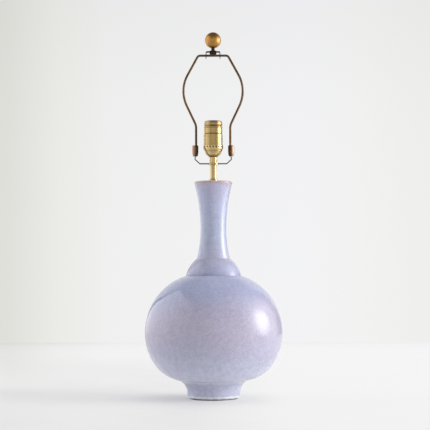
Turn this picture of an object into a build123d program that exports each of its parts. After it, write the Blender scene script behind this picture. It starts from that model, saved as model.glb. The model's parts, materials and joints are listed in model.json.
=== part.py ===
from build123d import *
import os
from math import acos, cos, degrees, radians, sin

os.makedirs("parts", exist_ok=True)

# Table lamp base: a hollow glazed vessel on a felted foot, clamped on a threaded pipe, with a
# brass neck tube, a screw-shell socket, and a harp whose yoke carries a ball finial.
# Millimetres. +Z is up and z = 0 is the table. The harp lies in the XZ plane, the lamp is seen
# from -Y, and the cord notch is at the back, +Y.

# Clearances
slip = 0.15          # radial, between pieces clamped round one another
run_fit = 0.08       # radial, a shaft that turns or slides in its hole
free_gap = 0.3       # between pieces that move past each other

# Foot
felt_thickness = 1.5
felt_inset = 5.6     # the felt stays inside the foot's rounded edge
foot_radius = 46.6
foot_wall = 8.6
foot_height = 29.2   # rim of the foot to the corner where the bulb's underside would meet it
foot_edge = 4.6
foot_blend = 22.2
floor_thickness = 9.5

# Bulb: two tangent arcs below the widest ring and two above it
bulb_radius = 121.1
belly_arc = 94.4
belly_angle = 37.0
under_arc = 68.1
shoulder_arc = 107.5
shoulder_angle = 35.0
crown_arc = 102.7
ceramic_wall = 6.5

# Collar and neck
collar_radius = 48.8
collar_ledge = 1.0   # the bulb stands out past the collar's foot
collar_height = 29.9
collar_bulge = 2.9
collar_top_ledge = 0.9
crease_round = 0.7
neck_base_radius = 29.5
neck_waist_radius = 22.7
neck_waist_height = 51.9
neck_height = 136.2
neck_top_thickness = 9.0
rim_radius = 34.3
rim_edge = 2.2

# Cord notch and grommet
notch_width = 9.6
notch_height = 11.8  # top of the notch above the foot's rim
grommet_bore = 3.2
grommet_flange = 1.7  # how far the flanges stand out past the notch
grommet_lip = 1.5
grommet_seat = 0.8   # depth of the flat sunk into the foot for the flange

# Clamping stack
pipe_radius = 4.85
pipe_bore = 3.2
pipe_tail = 3.0
pipe_grip = 9.5      # pipe screwed into the socket hub
gasket_radius = 17.0
gasket_thickness = 2.0
washer_radius = 16.0
washer_thickness = 2.0
lock_radius = 8.2
lock_thickness = 1.6
lock_split = 1.4
nut_across_flats = 16.0
nut_height = 4.5
nut_chamfer = 0.6

# Neck fittings
ring_radius = 7.8
ring_height = 4.6
ring_edge = 0.9
spigot_radius = 6.6
spigot_length = 4.0
tube_radius = 5.8
tube_length = 24.8
saddle_ring_radius = 9.2
saddle_ring_floor = 1.4
saddle_ring_wall = 1.1

# Harp saddle
saddle_thickness = 1.6
saddle_width = 10.0
saddle_flat = 23.8   # half length of the flat middle
saddle_reach = 32.6  # half span at the outer kink
saddle_rise = 8.3    # flat middle to the kink
saddle_lean = 3.9    # kink to the upright tongue
saddle_bend = 2.0
tongue_width = 5.0
tongue_shoulder = 14.1  # flat middle to the shoulders that carry the sleeves
tongue_length = 17.0

# Harp
wire_radius = 2.0
harp_leg = 30.2      # half distance between the straight legs
harp_leg_top = 69.0  # saddle's flat middle to the bend at the top of the legs
harp_belly = 59.9
harp_belly_height = 62.7
harp_top = 26.2
harp_top_height = 61.3
leg_bend = 25.0
belly_bend = 61.0
top_bend = 6.0
lap_thickness = 2.2  # what is left of the wire beside the tongue
lap_length = 14.5
lap_gap = 0.1
sleeve_radius = 5.4
sleeve_wall = 0.8
sleeve_length = 19.0
sleeve_mouth = 3.7
sleeve_lip = 1.6
sleeve_taper = 6.0
sleeve_tip_wall = 0.7
sleeve_offset = 1.4  # the sleeve hangs outside the wire's line
sleeve_edge = 0.7

# Yoke, stud and finial
yoke_half_span = 13.0
yoke_thickness = 1.3
yoke_width = 11.4
yoke_rise = 7.2      # wire axis to the top of the yoke
yoke_bend = 1.8
stud_head_radius = 6.0
stud_shank_radius = 3.6
stud_radius = 3.175
stud_thread_radius = 2.9
stud_thread_length = 9.6
stud_shoulder = 5.2  # bare stud above the washer
stud_washer_radius = 6.3
stud_washer_thickness = 1.3
finial_radius = 14.3
finial_flat = 4.5
finial_bore_depth = 11.5

# Socket
hub_radius = 7.0
hub_height = 10.8
bowl_height = 15.2
bowl_bulge = 2.2
bowl_line_height = 10.6  # hub to the pressed line round the bowl
bowl_line_radius = 15.2
cap_wall = 0.7
cap_rim_radius = 17.6
cap_rim_height = 6.0
dimple_count = 20
dimple_radius = 1.1
dimple_depth = 0.45
dimple_height = 2.6
set_screw_radius = 1.5
set_screw_length = 3.4
set_screw_slot = 0.6
set_screw_height = 5.5
shell_wall = 0.6
shell_lower_height = 25.0
shell_upper_radius = 16.2
shell_upper_height = 23.8
shell_groove = 0.6
shell_groove_width = 1.6
bead_height = 12.6   # step to the middle of the bead
bead_width = 3.2
bead_depth = 0.45
shell_mouth = 13.9
shell_crown = 2.6
liner_wall = 0.7
liner_short = 3.2    # liner stops below the shell's rolled edge
base_height = 14.0
base_flat = 11.4
screw_shell_bore = 13.25
screw_shell_wall = 0.45
screw_shell_length = 26.0
contact_thickness = 0.6
contact_width = 6.0
contact_foot_length = 4.0
contact_rise = 3.0
contact_reach = 4.6
contact_tip = 4.0
contact_pocket = 4.2  # depth of the well in the insulator for the contact
contact_well = 8.6
terminal_radius = 1.5
terminal_length = 5.0
terminal_head_radius = 2.7
terminal_head_height = 1.9
terminal_depth = 7.5  # top of the insulator down to the screws

# Heights of the vessel, from the foot up
z_foot = felt_thickness
under_start = belly_angle
belly_centre = bulb_radius - belly_arc
under_centre = belly_centre + (belly_arc - under_arc) * cos(radians(belly_angle))
under_end = degrees(acos((foot_radius - under_centre) / under_arc))
under_step = (belly_arc - under_arc) * sin(radians(belly_angle))
z_under = z_foot + foot_height
z_equator = z_under + under_arc * sin(radians(under_end)) + under_step
crown_centre = bulb_radius - shoulder_arc + (shoulder_arc - crown_arc) * cos(radians(shoulder_angle))
z_crown_centre = z_equator + (shoulder_arc - crown_arc) * sin(radians(shoulder_angle))
crown_end = degrees(acos((collar_radius + collar_ledge - crown_centre) / crown_arc))
z_collar = z_crown_centre + crown_arc * sin(radians(crown_end))
z_neck = z_collar + collar_height
z_waist = z_neck + neck_waist_height
z_rim = z_neck + neck_height
z_cavity = z_equator - under_step - (under_arc - ceramic_wall)
z_floor = z_cavity - floor_thickness
inner_crown_end = degrees(acos((collar_radius - ceramic_wall - crown_centre) / (crown_arc - ceramic_wall)))

# Heights of the fittings, from the rim up
z_tube = z_rim + ring_height
z_saddle_ring = z_tube + tube_length
z_saddle = z_saddle_ring + saddle_ring_floor
z_hub = z_saddle + saddle_thickness
z_bowl = z_hub + hub_height
z_ledge = z_bowl + bowl_height
z_cap_rim = z_ledge + cap_rim_height
z_step = z_ledge + shell_lower_height
z_shell_top = z_step + shell_upper_height
z_base_top = z_ledge + base_height
z_sleeve = z_saddle + tongue_shoulder
z_tongue = z_sleeve + tongue_length
z_leg_top = z_saddle + harp_leg_top
z_belly = z_leg_top + harp_belly_height
z_bow = z_belly + harp_top_height
z_yoke = z_bow + yoke_rise
z_stud_washer = z_yoke + stud_washer_thickness
z_shoulder = z_stud_washer + stud_shoulder

# Radii of the nested socket pieces, from the cap's rim inwards
shell_lower_radius = cap_rim_radius - cap_wall - slip
liner_radius = shell_upper_radius - shell_wall - slip
base_radius = liner_radius - liner_wall - slip
pipe_hole = pipe_radius + slip
spigot_hole = spigot_radius + slip
flange_width = notch_width + 2 * grommet_flange
pad_radius = saddle_ring_radius - saddle_ring_wall - slip
tongue_x = harp_leg - wire_radius + lap_thickness + lap_gap + saddle_thickness / 2

# Sketches here lie on the XZ plane unless they say otherwise, so their second coordinate is z.

# Glazed vessel: turned outside, hollow inside, with a recess under its floor
with BuildPart() as ceramic_body:
    with BuildSketch(Plane.XZ) as outside:
        with BuildLine():
            belly = JernArc((bulb_radius, z_equator), (0, -1), belly_arc, -belly_angle)
            underside = JernArc(belly @ 1, belly % 1, under_arc, belly_angle - under_end)
            Polyline(underside @ 1, (foot_radius, z_foot), (0, z_foot), (0, z_rim), (rim_radius, z_rim))
            TangentArc((neck_waist_radius, z_waist), (rim_radius, z_rim), tangent=(0, 1))
            TangentArc((neck_waist_radius, z_waist), (neck_base_radius, z_neck), tangent=(0, -1))
            collar_top = (neck_base_radius + collar_top_ledge, z_neck)
            Line((neck_base_radius, z_neck), collar_top)
            SagittaArc(collar_top, (collar_radius, z_collar), collar_bulge)
            shoulder = JernArc((bulb_radius, z_equator), (0, 1), shoulder_arc, shoulder_angle)
            crown = JernArc(shoulder @ 1, shoulder % 1, crown_arc, crown_end - shoulder_angle)
            crown_corner = (collar_radius + collar_ledge, z_collar)
            Line((collar_radius, z_collar), crown @ 1)
        make_face()
        fillet(outside.vertices().sort_by_distance((foot_radius, z_under))[0], foot_blend)
        fillet(outside.vertices().sort_by_distance((foot_radius, z_foot))[0], foot_edge)
        fillet(outside.vertices().sort_by_distance((rim_radius, z_rim))[0], rim_edge)
        fillet(outside.vertices().sort_by_distance(collar_top)[0], crease_round)
        fillet(outside.vertices().sort_by_distance(crown_corner)[0], crease_round)
    revolve(axis=Axis.Z)
    with BuildSketch(Plane.XZ):
        with BuildLine():
            inner_equator = (bulb_radius - ceramic_wall, z_equator)
            inner_belly = JernArc(inner_equator, (0, -1), belly_arc - ceramic_wall, -belly_angle)
            inner_under = JernArc(
                inner_belly @ 1, inner_belly % 1, under_arc - ceramic_wall, belly_angle - 90
            )
            inner_shoulder = JernArc(inner_equator, (0, 1), shoulder_arc - ceramic_wall, shoulder_angle)
            inner_crown = JernArc(
                inner_shoulder @ 1,
                inner_shoulder % 1,
                crown_arc - ceramic_wall,
                inner_crown_end - shoulder_angle,
            )
            inner_waist = (neck_waist_radius - ceramic_wall, z_waist)
            inner_base = (neck_base_radius - ceramic_wall, z_neck)
            inner_top = (rim_radius - ceramic_wall - rim_edge, z_rim - neck_top_thickness)
            Line(inner_crown @ 1, inner_base)
            TangentArc(inner_waist, inner_base, tangent=(0, -1))
            TangentArc(inner_waist, inner_top, tangent=(0, 1))
            Polyline(inner_top, (0, z_rim - neck_top_thickness), (0, z_cavity), inner_under @ 1)
        make_face()
    revolve(axis=Axis.Z, mode=Mode.SUBTRACT)
    with BuildSketch(Plane.XY.offset(z_foot)):
        Circle(foot_radius - foot_wall)
    extrude(amount=z_floor - z_foot, mode=Mode.SUBTRACT)
    with BuildSketch(Plane.XY.offset(z_foot)):
        Circle(pipe_hole)
    extrude(amount=z_cavity - z_foot, mode=Mode.SUBTRACT)
    with BuildSketch(Plane.XY.offset(z_rim)):
        Circle(spigot_hole)
    extrude(amount=-neck_top_thickness, mode=Mode.SUBTRACT)
    with BuildSketch(Plane.XZ):
        with Locations((0, z_foot)):
            Rectangle(notch_width, 2 * notch_height)
    extrude(amount=-(foot_radius + foot_blend), mode=Mode.SUBTRACT)
    with BuildSketch(Plane.XZ.offset(grommet_seat - foot_radius)):
        with Locations((0, z_foot)):
            Rectangle(flange_width + 2 * free_gap, 2 * (notch_height + grommet_flange + free_gap))
    extrude(amount=-foot_blend, mode=Mode.SUBTRACT)
ceramic_body.part.label = "ceramic_body"
export_step(ceramic_body.part, "parts/ceramic_body.step")

# Felt disc glued under the foot ring
with BuildPart() as felt_pad:
    with BuildSketch():
        Circle(foot_radius - felt_inset)
    extrude(amount=felt_thickness)
felt_pad.part.label = "felt_pad"
export_step(felt_pad.part, "parts/felt_pad.step")

# Grommet: a rubber block slid up into the notch, with a flange on each side of the foot ring
inner_wall = ((foot_radius - foot_wall) ** 2 - (flange_width / 2) ** 2) ** 0.5
seat = foot_radius - grommet_seat
z_cord = z_foot + (notch_height + grommet_flange) / 2
with BuildPart() as cord_grommet:
    with BuildSketch(Plane.XZ.offset(-inner_wall)):
        with Locations((0, z_foot + slip)):
            Rectangle(notch_width - 2 * slip, notch_height - 2 * slip, align=(Align.CENTER, Align.MIN))
    extrude(amount=inner_wall - seat)
    with BuildSketch(Plane.XZ.offset(-seat)):
        with Locations((0, z_foot + slip)):
            Rectangle(flange_width, notch_height + grommet_flange, align=(Align.CENTER, Align.MIN))
    extrude(amount=-grommet_lip)
    chamfer(cord_grommet.faces().sort_by(Axis.Y)[-1].edges(), grommet_lip / 3)
    with BuildSketch(Plane.XZ.offset(-inner_wall)):
        with Locations((0, z_foot + slip)):
            Rectangle(flange_width, notch_height + grommet_flange, align=(Align.CENTER, Align.MIN))
    extrude(amount=grommet_lip)
    with BuildSketch(Plane.XZ):
        with Locations((0, z_cord)):
            Circle(grommet_bore)
    extrude(amount=-2 * foot_radius, mode=Mode.SUBTRACT)
cord_grommet.part.label = "cord_grommet"
export_step(cord_grommet.part, "parts/cord_grommet.step")

# Rubber gasket against the underside of the floor
z_gasket = z_floor - gasket_thickness
with BuildPart() as foot_gasket:
    with BuildSketch(Plane.XY.offset(z_gasket)):
        Circle(gasket_radius)
        Circle(pipe_hole, mode=Mode.SUBTRACT)
    extrude(amount=gasket_thickness)
foot_gasket.part.label = "foot_gasket"
export_step(foot_gasket.part, "parts/foot_gasket.step")

# Steel washer under the gasket
z_washer = z_gasket - washer_thickness
with BuildPart() as foot_washer:
    with BuildSketch(Plane.XY.offset(z_washer)):
        Circle(washer_radius)
        Circle(pipe_hole, mode=Mode.SUBTRACT)
    extrude(amount=washer_thickness)
foot_washer.part.label = "foot_washer"
export_step(foot_washer.part, "parts/foot_washer.step")

# Split lock washer
z_lock = z_washer - lock_thickness
with BuildPart() as lock_washer:
    with BuildSketch(Plane.XY.offset(z_lock)):
        Circle(lock_radius)
        Circle(pipe_hole, mode=Mode.SUBTRACT)
        with Locations((lock_radius, 0)):
            Rectangle(2 * (lock_radius - pipe_radius) + lock_split, lock_split, mode=Mode.SUBTRACT)
    extrude(amount=lock_thickness)
lock_washer.part.label = "lock_washer"
export_step(lock_washer.part, "parts/lock_washer.step")

# Hexagon nut on the pipe's lower end
z_nut = z_lock - nut_height
with BuildPart() as pipe_nut:
    with BuildSketch(Plane.XY.offset(z_nut)):
        RegularPolygon(nut_across_flats / 2, 6, major_radius=False)
        Circle(pipe_hole, mode=Mode.SUBTRACT)
    extrude(amount=nut_height)
    chamfer(pipe_nut.edges().filter_by(GeomType.CIRCLE), slip)
    with BuildSketch(Plane.XY.offset(z_nut)):
        Circle(nut_across_flats / 2 - nut_chamfer / 2)
    extrude(amount=nut_height, taper=-60, mode=Mode.INTERSECT)
pipe_nut.part.label = "pipe_nut"
export_step(pipe_nut.part, "parts/pipe_nut.step")

# Threaded pipe that clamps the stack, open through its length for the wires
z_pipe = z_nut - pipe_tail
with BuildPart() as lamp_pipe:
    with BuildSketch(Plane.XY.offset(z_pipe)):
        Circle(pipe_radius)
        Circle(pipe_bore, mode=Mode.SUBTRACT)
    extrude(amount=z_hub + pipe_grip - z_pipe)
    chamfer(lamp_pipe.edges().filter_by(GeomType.CIRCLE), (pipe_radius - pipe_bore) / 4)
lamp_pipe.part.label = "lamp_pipe"
export_step(lamp_pipe.part, "parts/lamp_pipe.step")

# Brass seating ring, with a spigot that centres it in the neck hole
with BuildPart() as neck_ring:
    with BuildSketch(Plane.XY.offset(z_rim)):
        Circle(ring_radius)
    extrude(amount=ring_height)
    chamfer(neck_ring.edges().sort_by(Axis.Z)[-1], ring_edge)
    with BuildSketch(Plane.XY.offset(z_rim - spigot_length)):
        Circle(spigot_radius)
    extrude(amount=spigot_length)
    with BuildSketch(Plane.XY.offset(z_rim - spigot_length)):
        Circle(pipe_hole)
    extrude(amount=spigot_length + ring_height, mode=Mode.SUBTRACT)
neck_ring.part.label = "neck_ring"
export_step(neck_ring.part, "parts/neck_ring.step")

# Brass tube over the pipe
with BuildPart() as neck_tube:
    with BuildSketch(Plane.XY.offset(z_tube)):
        Circle(tube_radius)
        Circle(pipe_hole, mode=Mode.SUBTRACT)
    extrude(amount=tube_length)
neck_tube.part.label = "neck_tube"
export_step(neck_tube.part, "parts/neck_tube.step")

# Brass cup under the hub, slotted across so that the saddle in it cannot turn
with BuildPart() as saddle_ring:
    with BuildSketch(Plane.XY.offset(z_saddle_ring)):
        Circle(saddle_ring_radius)
        Circle(pipe_hole, mode=Mode.SUBTRACT)
    extrude(amount=saddle_ring_floor + saddle_thickness)
    with BuildSketch(Plane.XY.offset(z_saddle)):
        Circle(pad_radius + slip)
        Rectangle(2 * saddle_ring_radius, saddle_width + 2 * slip)
    extrude(amount=saddle_thickness, mode=Mode.SUBTRACT)
saddle_ring.part.label = "saddle_ring"
export_step(saddle_ring.part, "parts/saddle_ring.step")

# Harp saddle: a strip with a round pad at the pipe, bent up at both ends into narrow tongues
z_strip = z_saddle + saddle_thickness / 2
with BuildPart() as harp_saddle:
    with BuildSketch(Plane.XZ):
        with BuildLine():
            FilletPolyline(
                (-tongue_x, z_tongue),
                (-tongue_x, z_strip + saddle_rise + saddle_lean),
                (-saddle_reach, z_strip + saddle_rise),
                (-saddle_flat, z_strip),
                (saddle_flat, z_strip),
                (saddle_reach, z_strip + saddle_rise),
                (tongue_x, z_strip + saddle_rise + saddle_lean),
                (tongue_x, z_tongue),
                radius=saddle_bend,
            )
        trace(line_width=saddle_thickness)
    extrude(amount=saddle_width / 2, both=True)
    with BuildSketch(Plane.YZ):
        for side in (-1, 1):
            with Locations((side * (tongue_width + saddle_width) / 2, z_sleeve + tongue_length)):
                Rectangle(saddle_width, 2 * tongue_length)
    extrude(amount=2 * saddle_reach, both=True, mode=Mode.SUBTRACT)
    with BuildSketch(Plane.XY.offset(z_saddle)):
        Circle(pad_radius)
    extrude(amount=saddle_thickness)
    with BuildSketch(Plane.XY.offset(z_saddle)):
        Circle(pipe_hole)
    extrude(amount=saddle_thickness, mode=Mode.SUBTRACT)
harp_saddle.part.label = "harp_saddle"
export_step(harp_saddle.part, "parts/harp_saddle.step")

# Socket cap: a spun cup on a threaded hub, with a pressed line and a row of dimples
with BuildPart() as socket_cap:
    line = (bowl_line_radius, z_bowl + bowl_line_height)
    step = (bowl_line_radius + cap_wall, z_bowl + bowl_line_height)
    with BuildSketch(Plane.XZ):
        with BuildLine():
            Polyline(
                (hub_radius, z_bowl),
                (hub_radius, z_hub),
                (pipe_hole, z_hub),
                (pipe_hole, z_bowl + cap_wall),
            )
            SagittaArc((hub_radius, z_bowl), line, -bowl_bulge)
            Line(line, step)
            TangentArc((cap_rim_radius, z_ledge - cap_wall), step, tangent=(0, -1))
            Polyline(
                (cap_rim_radius, z_ledge - cap_wall),
                (cap_rim_radius, z_cap_rim),
                (cap_rim_radius - cap_wall, z_cap_rim),
                (cap_rim_radius - cap_wall, z_ledge),
                (base_radius - 2 * cap_wall, z_ledge),
            )
            SagittaArc((pipe_hole, z_bowl + cap_wall), (base_radius - 2 * cap_wall, z_ledge), -bowl_bulge)
        make_face()
    revolve(axis=Axis.Z)
    with Locations((0, 0, z_ledge + dimple_height)):
        with PolarLocations(cap_rim_radius, dimple_count):
            Cone(0, 2 * dimple_radius, 2 * dimple_depth, rotation=(0, 90, 0), mode=Mode.SUBTRACT)
    with BuildSketch(Plane.XZ):
        with Locations((0, z_hub + set_screw_height)):
            Circle(set_screw_radius + run_fit)
    extrude(amount=-2 * hub_radius, mode=Mode.SUBTRACT)
socket_cap.part.label = "socket_cap"
export_step(socket_cap.part, "parts/socket_cap.step")

# Set screw in the back of the hub, its tip on the pipe
with BuildPart() as hub_screw:
    with BuildSketch(Plane.XZ.offset(-pipe_radius)):
        with Locations((0, z_hub + set_screw_height)):
            Circle(set_screw_radius)
    extrude(amount=-set_screw_length)
    with BuildSketch(Plane.XZ.offset(set_screw_slot - pipe_radius - set_screw_length)):
        with Locations((0, z_hub + set_screw_height)):
            Rectangle(2 * set_screw_radius, set_screw_slot)
    extrude(amount=-set_screw_slot, mode=Mode.SUBTRACT)
hub_screw.part.label = "hub_screw"
export_step(hub_screw.part, "parts/hub_screw.step")

# Socket shell: drawn brass, stepped in once, with a bead and a rolled top edge
z_bead = z_step + bead_height
with BuildPart() as socket_shell:
    with BuildSketch(Plane.XZ) as drawn:
        with BuildLine():
            Polyline(
                (shell_mouth, z_shell_top),
                (shell_mouth, z_shell_top - shell_wall),
                (shell_upper_radius - shell_wall, z_shell_top - shell_wall - shell_crown),
                (shell_upper_radius - shell_wall, z_step - shell_wall),
                (shell_lower_radius - shell_wall, z_step - shell_wall),
                (shell_lower_radius - shell_wall, z_ledge),
                (shell_lower_radius, z_ledge),
                (shell_lower_radius, z_step),
                (shell_upper_radius - shell_wall / 2, z_step),
                (shell_upper_radius - shell_wall / 2, z_step + shell_groove_width),
                (shell_upper_radius, z_step + shell_groove_width),
                (shell_upper_radius, z_bead - bead_width / 2),
            )
            ThreePointArc(
                (shell_upper_radius, z_bead - bead_width / 2),
                (shell_upper_radius + bead_depth, z_bead),
                (shell_upper_radius, z_bead + bead_width / 2),
            )
            Line(
                (shell_upper_radius, z_bead + bead_width / 2), (shell_upper_radius, z_shell_top - shell_crown)
            )
            TangentArc(
                (shell_upper_radius, z_shell_top - shell_crown), (shell_mouth, z_shell_top), tangent=(0, 1)
            )
        make_face()
    revolve(axis=Axis.Z)
socket_shell.part.label = "socket_shell"
export_step(socket_shell.part, "parts/socket_shell.step")

# Fibre liner between the shell and the live parts
z_liner_top = z_shell_top - shell_wall - shell_crown - liner_short
with BuildPart() as socket_liner:
    with BuildSketch(Plane.XY.offset(z_ledge)):
        Circle(liner_radius)
        Circle(liner_radius - liner_wall, mode=Mode.SUBTRACT)
    extrude(amount=z_liner_top - z_ledge)
socket_liner.part.label = "socket_liner"
export_step(socket_liner.part, "parts/socket_liner.step")

# Moulded insulator, flatted on two sides for the wire screws, with a well for the centre contact
with BuildPart() as socket_base:
    with BuildSketch(Plane.XY.offset(z_ledge)):
        Circle(base_radius)
        Rectangle(2 * base_radius, 2 * base_flat, mode=Mode.INTERSECT)
    extrude(amount=base_height)
    with BuildSketch(Plane.XY.offset(z_base_top)):
        Circle(contact_well)
    extrude(amount=-contact_pocket, mode=Mode.SUBTRACT)
    for side in (-1, 1):
        with BuildSketch(Plane.XZ.offset(side * base_flat)):
            with Locations((0, z_base_top - terminal_depth)):
                Circle(terminal_radius + run_fit)
        extrude(amount=-side * (terminal_length + free_gap), mode=Mode.SUBTRACT)
socket_base.part.label = "socket_base"
export_step(socket_base.part, "parts/socket_base.step")

# Screw shell for the bulb: a plain sleeve here, standing on the insulator
with BuildPart() as screw_shell:
    with BuildSketch(Plane.XY.offset(z_base_top)):
        Circle(screw_shell_bore + screw_shell_wall)
        Circle(screw_shell_bore, mode=Mode.SUBTRACT)
    extrude(amount=screw_shell_length)
screw_shell.part.label = "screw_shell"
export_step(screw_shell.part, "parts/screw_shell.step")

# Centre contact: a riveted foot and the sprung tab that rises from it to the middle
z_contact = z_base_top - contact_pocket
contact_x = -contact_reach + contact_thickness
with BuildPart() as contact_foot:
    with BuildSketch(Plane.XY.offset(z_contact)):
        with Locations((contact_x - contact_foot_length / 2, 0)):
            Rectangle(contact_foot_length, contact_width)
    extrude(amount=contact_thickness)
    with BuildSketch(Plane.XY.offset(z_contact + contact_thickness)):
        with Locations((contact_x - contact_foot_length / 2, 0)):
            Circle(contact_width / 4)
    extrude(amount=contact_thickness)
contact_foot.part.label = "contact_foot"
export_step(contact_foot.part, "parts/contact_foot.step")

with BuildPart() as contact_tab:
    with BuildSketch(Plane.XZ):
        with BuildLine():
            Polyline(
                (contact_x + free_gap, z_contact + contact_thickness),
                (0, z_contact + contact_thickness + contact_rise),
                (contact_tip, z_contact + contact_thickness + contact_rise),
            )
        trace(line_width=contact_thickness)
    extrude(amount=contact_width / 2, both=True)
contact_tab.part.label = "contact_tab"
export_step(contact_tab.part, "parts/contact_tab.step")

# Wire screws on the insulator's two flats
with BuildPart() as terminal_screws:
    for side in (-1, 1):
        with BuildSketch(Plane.XZ.offset(side * base_flat)):
            with Locations((0, z_base_top - terminal_depth)):
                Circle(terminal_head_radius)
        extrude(amount=side * terminal_head_height)
        with BuildSketch(Plane.XZ.offset(side * base_flat)):
            with Locations((0, z_base_top - terminal_depth)):
                Circle(terminal_radius)
        extrude(amount=-side * terminal_length)
terminal_screws.part.label = "terminal_screws"
export_step(terminal_screws.part, "parts/terminal_screws.step")

# Harp: one bent wire, halved at its ends to lap the saddle's tongues
z_wire_end = z_tongue - lap_length
with BuildPart() as harp_wire:
    with BuildLine(Plane.XZ) as bow:
        FilletPolyline(
            (-harp_leg, z_wire_end),
            (-harp_leg, z_leg_top),
            (-harp_belly, z_belly),
            (-harp_top, z_bow),
            (harp_top, z_bow),
            (harp_belly, z_belly),
            (harp_leg, z_leg_top),
            (harp_leg, z_wire_end),
            radius=[leg_bend, belly_bend, top_bend, top_bend, belly_bend, leg_bend],
        )
    with BuildSketch(Plane(origin=bow.line @ 0, z_dir=bow.line % 0)):
        Circle(wire_radius)
    sweep()
    with BuildSketch(Plane.XZ):
        for side in (-1, 1):
            with Locations((side * (harp_leg + lap_thickness), z_wire_end)):
                Rectangle(2 * wire_radius, 2 * (lap_length + free_gap))
    extrude(amount=2 * wire_radius, both=True, mode=Mode.SUBTRACT)
harp_wire.part.label = "harp_wire"
export_step(harp_wire.part, "parts/harp_wire.step")

# Sleeves: ferrules that stand on the saddle's shoulders, drawn in at both ends
sleeve_bore = sleeve_radius - sleeve_wall
for side, side_name in ((-1, "left"), (1, "right")):
    sleeve_axis = side * (harp_leg + sleeve_offset)
    with BuildPart() as sleeve:
        with BuildSketch(Plane.XZ) as ferrule:
            with BuildLine():
                Polyline(
                    (sleeve_mouth, z_sleeve),
                    (sleeve_mouth + sleeve_tip_wall, z_sleeve),
                    (sleeve_radius, z_sleeve + sleeve_taper),
                    (sleeve_radius, z_sleeve + sleeve_length),
                    (sleeve_mouth, z_sleeve + sleeve_length),
                    (sleeve_mouth, z_sleeve + sleeve_length - sleeve_lip),
                    (sleeve_bore, z_sleeve + sleeve_length - sleeve_lip),
                    (sleeve_bore, z_sleeve + sleeve_taper),
                    (sleeve_mouth, z_sleeve + sleeve_lip),
                    close=True,
                )
            make_face()
            top_corner = (sleeve_radius, z_sleeve + sleeve_length)
            chamfer(ferrule.vertices().sort_by_distance(top_corner)[0], sleeve_edge)
        revolve(axis=Axis.Z)
    ferrule_part = sleeve.part.moved(Location((sleeve_axis, 0, 0)))
    ferrule_part.label = "sleeve_" + side_name
    export_step(ferrule_part, "parts/sleeve_" + side_name + ".step")

# Yoke: a strip bent over the bow's top, with the wire through its legs
yoke_hole = wire_radius + run_fit
yoke_leg = yoke_half_span - yoke_thickness / 2
with BuildPart() as harp_yoke:
    with BuildSketch(Plane.XZ):
        with BuildLine():
            FilletPolyline(
                (-yoke_leg, z_bow - yoke_width / 2),
                (-yoke_leg, z_yoke - yoke_thickness / 2),
                (yoke_leg, z_yoke - yoke_thickness / 2),
                (yoke_leg, z_bow - yoke_width / 2),
                radius=yoke_bend,
            )
        trace(line_width=yoke_thickness)
    extrude(amount=yoke_width / 2, both=True)
    with BuildSketch(Plane.YZ):
        with Locations((0, z_bow)):
            Circle(yoke_width / 2)
        with Locations((0, z_bow + yoke_rise / 2)):
            Rectangle(yoke_width, yoke_rise)
    extrude(amount=yoke_half_span, both=True, mode=Mode.INTERSECT)
    with BuildSketch(Plane.YZ):
        with Locations((0, z_bow)):
            Circle(yoke_hole)
    extrude(amount=yoke_half_span, both=True, mode=Mode.SUBTRACT)
    with BuildSketch(Plane.XY.offset(z_yoke)):
        Circle(stud_shank_radius + run_fit)
    extrude(amount=-yoke_thickness, mode=Mode.SUBTRACT)
harp_yoke.part.label = "harp_yoke"
export_step(harp_yoke.part, "parts/harp_yoke.step")

# Stud: its head sits between the yoke and the wire, its bare shoulder takes a shade's ring
z_stud_head = z_bow + wire_radius + free_gap
with BuildPart() as shade_stud:
    with BuildSketch(Plane.XY.offset(z_stud_head)):
        Circle(stud_head_radius)
    extrude(amount=z_yoke - yoke_thickness - z_stud_head)
    with BuildSketch(Plane.XY.offset(z_stud_head)):
        Circle(stud_shank_radius)
    extrude(amount=z_stud_washer - z_stud_head)
    with BuildSketch(Plane.XY.offset(z_stud_washer)):
        Circle(stud_radius)
    extrude(amount=stud_shoulder)
    with BuildSketch(Plane.XY.offset(z_shoulder)):
        Circle(stud_thread_radius)
    extrude(amount=stud_thread_length)
    chamfer(shade_stud.edges().sort_by(Axis.Z)[-1], stud_thread_radius / 5)
shade_stud.part.label = "shade_stud"
export_step(shade_stud.part, "parts/shade_stud.step")

# Washer on the yoke that a shade rests on
with BuildPart() as stud_washer:
    with BuildSketch(Plane.XY.offset(z_yoke)):
        Circle(stud_washer_radius)
        Circle(stud_shank_radius + run_fit, mode=Mode.SUBTRACT)
    extrude(amount=stud_washer_thickness)
stud_washer.part.label = "stud_washer"
export_step(stud_washer.part, "parts/stud_washer.step")

# Ball finial, flatted and tapped underneath
z_flat = z_shoulder + run_fit
z_ball = z_flat + (finial_radius**2 - finial_flat**2) ** 0.5
with BuildPart() as finial_ball:
    with Locations((0, 0, z_ball)):
        Sphere(finial_radius)
    with BuildSketch(Plane.XY.offset(z_flat)):
        Circle(finial_radius)
    extrude(amount=-finial_radius, mode=Mode.SUBTRACT)
    with BuildSketch(Plane.XY.offset(z_flat)):
        Circle(stud_thread_radius + run_fit)
    extrude(amount=finial_bore_depth, mode=Mode.SUBTRACT)
finial_ball.part.label = "finial_ball"
export_step(finial_ball.part, "parts/finial_ball.step")
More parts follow.
